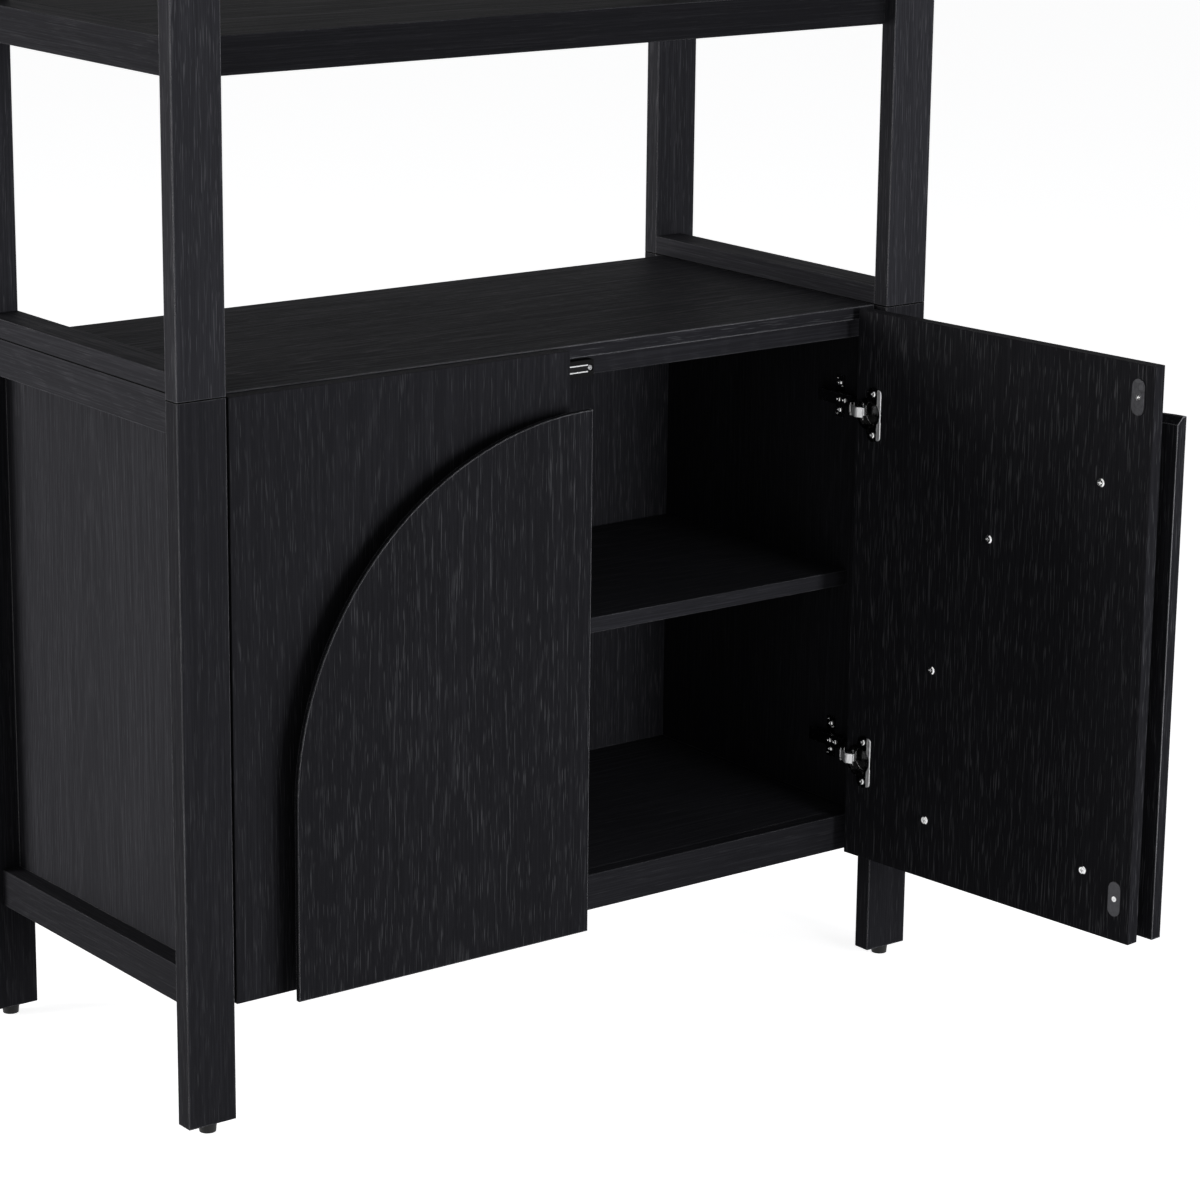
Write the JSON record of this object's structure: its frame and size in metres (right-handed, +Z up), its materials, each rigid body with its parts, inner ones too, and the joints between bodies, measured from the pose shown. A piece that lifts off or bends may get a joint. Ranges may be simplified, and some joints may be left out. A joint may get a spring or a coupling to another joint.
{
  "type": "bookcase cabinet",
  "caption": "Open shelf rack on a two-door base cabinet, with quarter-round panels standing off the doors to form an arch.",
  "frame": {"origin": "on the floor under the middle of the cabinet, midway between the feet", "axes": "+X to the right as seen from the front, +Y to the back, +Z up"},
  "size_m": [1.0039, 0.8701, 1.87],
  "materials": {
    "stained_oak": "black stain on oak, open grain, satin lacquer",
    "stained_oak_inside": "black stain on oak veneer, satin",
    "beech": "bare turned beech",
    "glide_plastic": "moulded",
    "catch_plastic": "moulded",
    "magnet_iron": "sintered",
    "dark_steel": "blackened, satin",
    "dark_spacer": "moulded tube",
    "bright_steel": "zinc plated",
    "nickel_plate": "nickel plated"
  },
  "bodies": {
    "carcass": {"back_panel": "stained_oak_inside", "bottom_front_rail": "stained_oak", "bottom_rear_rail": "stained_oak", "cabinet_floor": "stained_oak_inside", "cabinet_top": "stained_oak", "catch_housings": "catch_plastic", "catch_magnets": "magnet_iron", "catch_pole_strips": "bright_steel", "catch_screws": "nickel_plate", "dowels": "beech", "glide_feet": "glide_plastic", "hinge_arms": "nickel_plate", "hinge_plate_screws": "nickel_plate", "hinge_plates": "nickel_plate", "inner_shelf": "stained_oak_inside", "lower_post_front_left": "stained_oak", "lower_post_front_right": "stained_oak", "lower_post_rear_left": "stained_oak", "lower_post_rear_right": "stained_oak", "lower_shelf": "stained_oak", "lower_shelf_rail_left": "stained_oak", "lower_shelf_rail_right": "stained_oak", "middle_shelf": "stained_oak", "middle_shelf_rail_left": "stained_oak", "middle_shelf_rail_right": "stained_oak", "rack_base_rail_left": "stained_oak", "rack_base_rail_right": "stained_oak", "shelf_pins": "bright_steel", "side_bottom_rail_left": "stained_oak", "side_bottom_rail_right": "stained_oak", "side_panel_left": "stained_oak_inside", "side_panel_right": "stained_oak_inside", "side_top_rail_left": "stained_oak", "side_top_rail_right": "stained_oak", "top_front_batten": "stained_oak", "top_rear_batten": "stained_oak", "top_shelf": "stained_oak", "top_shelf_rail_left": "stained_oak", "top_shelf_rail_right": "stained_oak", "upper_post_front_left": "stained_oak", "upper_post_front_right": "stained_oak", "upper_post_rear_left": "stained_oak", "upper_post_rear_right": "stained_oak"},
    "links_left": {"hinge_links_left": "nickel_plate"},
    "links_right": {"hinge_links_right": "nickel_plate"},
    "door_left": {"arch_panel_left": "stained_oak", "arch_screws_left": "nickel_plate", "arch_spacers_left": "dark_spacer", "door_fitting_screws_left": "nickel_plate", "door_left": "stained_oak", "hinge_cups_left": "nickel_plate", "strike_plates_left": "dark_steel"},
    "door_right": {"arch_panel_right": "stained_oak", "arch_screws_right": "nickel_plate", "arch_spacers_right": "dark_spacer", "door_fitting_screws_right": "nickel_plate", "door_right": "stained_oak", "hinge_cups_right": "nickel_plate", "strike_plates_right": "dark_steel"}
  },
  "joints": [
    {"name": "left_door_hinge", "type": "hinge", "parent": "carcass", "child": "door_left", "pos_m": [-0.42681, -0.22499, 0.4635], "axis": [0, 0, -1], "range_deg": [0, 110]},
    {"name": "left_links_fold", "type": "hinge", "parent": "door_left", "child": "links_left", "pos_m": [-0.4311, -0.21206, 0.4635], "axis": [0, 0, 1], "range_deg": [0, 175.82]},
    {"name": "right_door_hinge", "type": "hinge", "parent": "carcass", "child": "door_right", "pos_m": [0.42681, -0.22499, 0.4635], "axis": [0, 0, 1], "range_deg": [-96, 14]},
    {"name": "right_links_fold", "type": "hinge", "parent": "door_right", "child": "links_right", "pos_m": [0.4135, -0.22208, 0.4635], "axis": [0, 0, -1], "range_deg": [-153.45, 22.42]}
  ],
  "couplings": [
    {"joint": "left_links_fold", "follows": "left_door_hinge", "ratio": 1.5979},
    {"joint": "right_links_fold", "follows": "right_door_hinge", "ratio": 1.5979}
  ]
}
